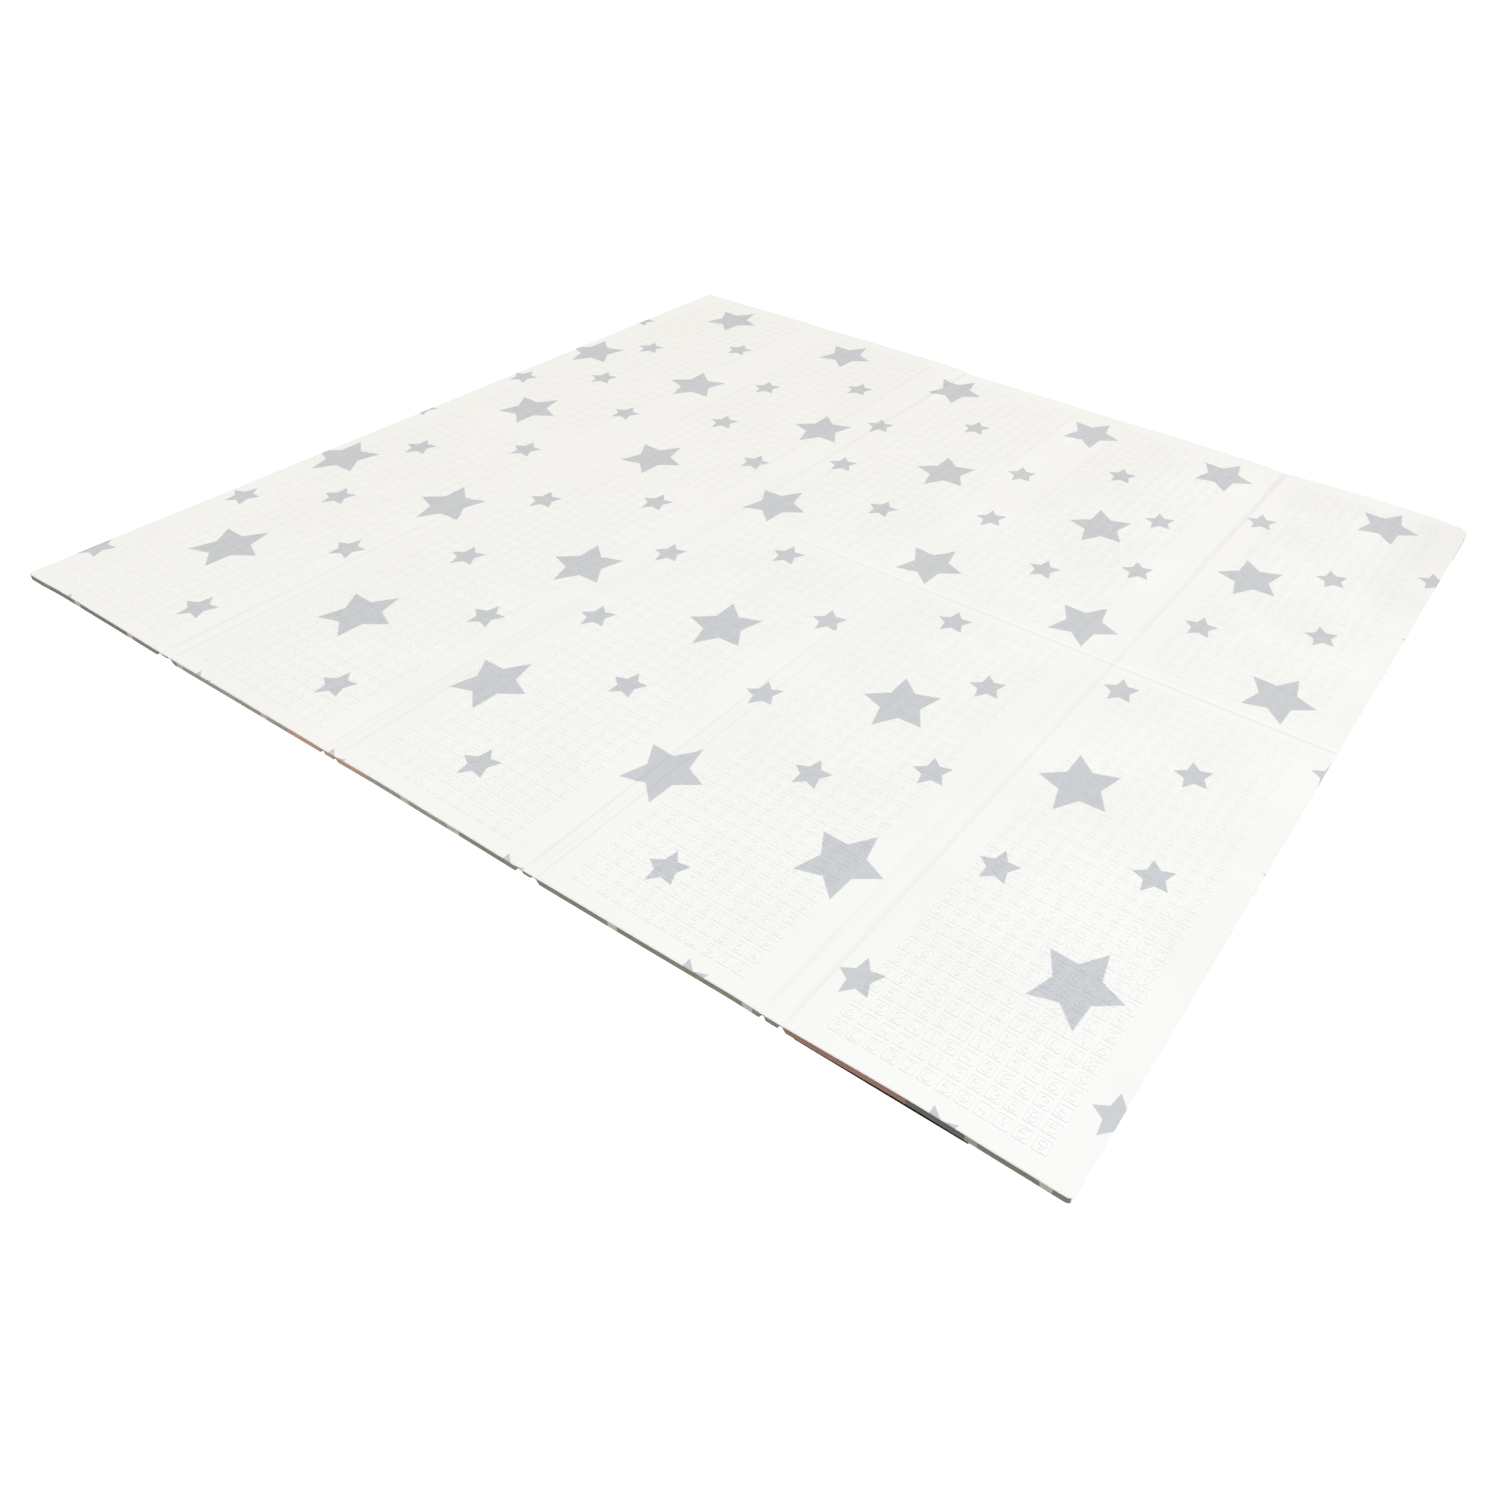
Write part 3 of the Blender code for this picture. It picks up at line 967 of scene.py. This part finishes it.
# The strokes of the numbers, on a grid of width 1 and height 1. A stroke is closed, or has
# two ends
FIGURES = {
    0: (
        ("closed", (0.25, 0), (0.75, 0), (1, 0.2), (1, 0.8), (0.75, 1), (0.25, 1),
         (0, 0.8), (0, 0.2)),
    ),
    1: (
        ("open", (0.25, 0.78), (0.6, 1), (0.6, 0)),
    ),
    2: (
        ("open", (0, 0.8), (0.25, 1), (0.75, 1), (1, 0.8), (1, 0.62), (0.05, 0), (1, 0)),
    ),
    3: (
        ("open", (0, 0.86), (0.3, 1), (0.7, 1), (1, 0.8), (1, 0.66), (0.6, 0.53),
         (1, 0.38), (1, 0.2), (0.7, 0), (0.3, 0), (0, 0.14)),
    ),
    4: (
        ("open", (0.35, 1), (0, 0.36), (1, 0.36)),
        ("open", (0.72, 0.8), (0.72, 0)),
    ),
    5: (
        ("open", (0.95, 1), (0.1, 1), (0.05, 0.56), (0.7, 0.62), (1, 0.44), (1, 0.2),
         (0.7, 0), (0.3, 0), (0, 0.14)),
    ),
    6: (
        ("open", (0.85, 1), (0.3, 0.82), (0, 0.42), (0, 0.2), (0.3, 0), (0.7, 0), (1, 0.2),
         (1, 0.38), (0.7, 0.56), (0.12, 0.52)),
    ),
    7: (
        ("open", (0, 1), (1, 1), (0.35, 0)),
    ),
    8: (
        ("closed", (0.25, 0.53), (0.75, 0.53), (1, 0.7), (1, 0.83), (0.75, 1), (0.25, 1),
         (0, 0.83), (0, 0.7)),
        ("open", (0.25, 0.53), (0, 0.34), (0, 0.17), (0.25, 0), (0.75, 0), (1, 0.17),
         (1, 0.34), (0.75, 0.53)),
    ),
    9: (
        ("open", (0.15, 0), (0.7, 0.18), (1, 0.58), (1, 0.8), (0.7, 1), (0.3, 1),
         (0, 0.8), (0, 0.62), (0.3, 0.44), (0.88, 0.48)),
    ),
}


def ridge(path, closed):
    """Carry a low roof-shaped profile along a flat path, with mitred turns.

    At each point of the path the profile has a foot on either side and a crest between.
    A foot is half a width off along the mitre, which is the two neighbouring sides'
    normals added up and lengthened by their angle. The crest of a free end is drawn back.
    """
    path = np.asarray(path, dtype=float)
    ahead = np.roll(path, -1, axis=0) - path
    ahead /= np.linalg.norm(ahead, axis=1, keepdims=True)
    behind = np.roll(ahead, 1, axis=0)
    if not closed:
        ahead[-1] = ahead[-2]
        behind[0] = ahead[0]
    normal = np.stack([-ahead[:, 1] - behind[:, 1], ahead[:, 0] + behind[:, 0]], axis=-1)
    normal /= np.linalg.norm(normal, axis=1, keepdims=True)
    half_turn = normal[:, 0] * -ahead[:, 1] + normal[:, 1] * ahead[:, 0]
    mitre = normal * np.minimum(1.0 / half_turn, MITRE_LIMIT)[:, None] * RIDGE_WIDTH / 2
    crest = path.copy()
    if not closed:
        crest[0] += ahead[0] * RIDGE_WIDTH / 2
        crest[-1] -= ahead[-1] * RIDGE_WIDTH / 2
    low = np.full((len(path), 1), -RIDGE_SINK)
    high = np.full((len(path), 1), RIDGE_HEIGHT)
    points = np.stack([
        np.hstack([path + mitre, low]),
        np.hstack([crest, high]),
        np.hstack([path - mitre, low]),
    ], axis=1).reshape(-1, 3)
    start = 3 * np.arange(len(path))
    if not closed:
        start = start[:-1]
    end = (start + 3) % len(points)
    quads = np.concatenate([
        np.stack([start + a, start + b, end + b, end + a], axis=-1)
        for a, b in ((0, 1), (1, 2), (2, 0))
    ])
    last = len(points) - 3
    caps = np.empty((0, 3), dtype=int)
    if not closed:
        caps = np.array([(0, 2, 1), (last, last + 1, last + 2)])
    return points, quads, caps


def joined(shapes):
    """Join shapes of points, quads and triangles into one shape."""
    starts = np.cumsum([0] + [len(points) for points, _, _ in shapes])
    return (
        np.concatenate([points for points, _, _ in shapes]),
        np.concatenate([quads + start for start, (_, quads, _) in zip(starts, shapes)]),
        np.concatenate([caps + start for start, (_, _, caps) in zip(starts, shapes)]),
    )


def rounded_square():
    """The ridge round a square: straight sides, and corners of three points on an arc."""
    reach = CELL_SIDE / 2 - CELL_CORNER
    angles = np.radians(np.arange(0, 360, 90)[:, None] + np.array([0, 45, 90]))
    centre_x = reach * np.sign(np.cos(angles.mean(axis=1)))[:, None]
    centre_y = reach * np.sign(np.sin(angles.mean(axis=1)))[:, None]
    x = centre_x + CELL_CORNER * np.cos(angles)
    y = centre_y + CELL_CORNER * np.sin(angles)
    return ridge(np.stack([x, y], axis=-1).reshape(-1, 2), True)


def figure(number):
    """The ridges of one number, centred on 0, 0."""
    shapes = []
    for kind, *points in FIGURES[number]:
        path = (np.array(points) - 0.5) * (FIGURE_WIDTH, FIGURE_HEIGHT)
        shapes.append(ridge(path, kind == "closed"))
    return joined(shapes)


def ridge_share(x, y):
    """How high the ridges stand at x, y, as a share of RIDGE_HEIGHT.

    They are made highest at the near right, where they show most in the photograph: 1,
    and a further share that grows evenly from left to right and eases off over a reach
    from the front edge.
    """
    return 1.0 + HIGHER_SHARE * (x / LENGTH + 0.5) * ease(1.0 - (y + WIDTH / 2) / HIGHER_REACH)


def repeated(shape, x, y):
    """Set copies of a flat shape with their middles at x, y, and lay them on the film."""
    points, quads, caps = shape
    placed = np.repeat(points[None], len(x), axis=0)
    placed[:, :, 2] *= ridge_share(x, y)[:, None]
    placed[:, :, 0] += x[:, None]
    placed[:, :, 1] += y[:, None]
    placed[:, :, 2] += top_height(placed[:, :, 0], placed[:, :, 1])
    first = (len(points) * np.arange(len(x)))[:, None, None]
    return placed.reshape(-1, 3), (quads + first).reshape(-1, 4), (caps + first).reshape(-1, 3)


def pressed_field(name, start_x, start_y, rows, draw, film):
    """One panel's field: a square in each cell, and in each a number drawn by lot."""
    column, row = np.meshgrid(np.arange(CELL_COLUMNS), np.arange(rows), indexing="ij")
    x = start_x + (column.ravel() + 0.5) * CELL_ALONG
    y = start_y + (row.ravel() + 0.5) * CELL_ACROSS
    numbers = draw.integers(0, len(FIGURES), x.size)
    shapes = [repeated(rounded_square(), x, y)]
    for number in FIGURES:
        here = numbers == number
        shapes.append(repeated(figure(number), x[here], y[here]))
    points, quads, caps = joined(shapes)
    mesh = bpy.data.meshes.new(name)
    mesh.from_pydata(points.tolist(), [], quads.tolist() + caps.tolist())
    mesh.update()
    mesh.shade_smooth()
    mesh.set_sharp_from_angle(angle=RIDGE_CREST_ANGLE)
    mesh.materials.append(film)
    lay_print(mesh)
    mark_crease_shade_and_corner(mesh)
    field = bpy.data.objects.new(name, mesh)
    bpy.context.scene.collection.objects.link(field)
    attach(field, "root")
    return field


draw = np.random.default_rng(FIGURE_SEED)
film = mat.data.materials[FILM]
for side, (start_y, rows) in zip(("front", "back"), FIELD_ROWS):
    for count, start_x in enumerate(FIELD_STARTS, start=1):
        name = f"pressed_field_{side}_{count}"
        pressed_field(name, start_x, start_y, rows, draw, film)
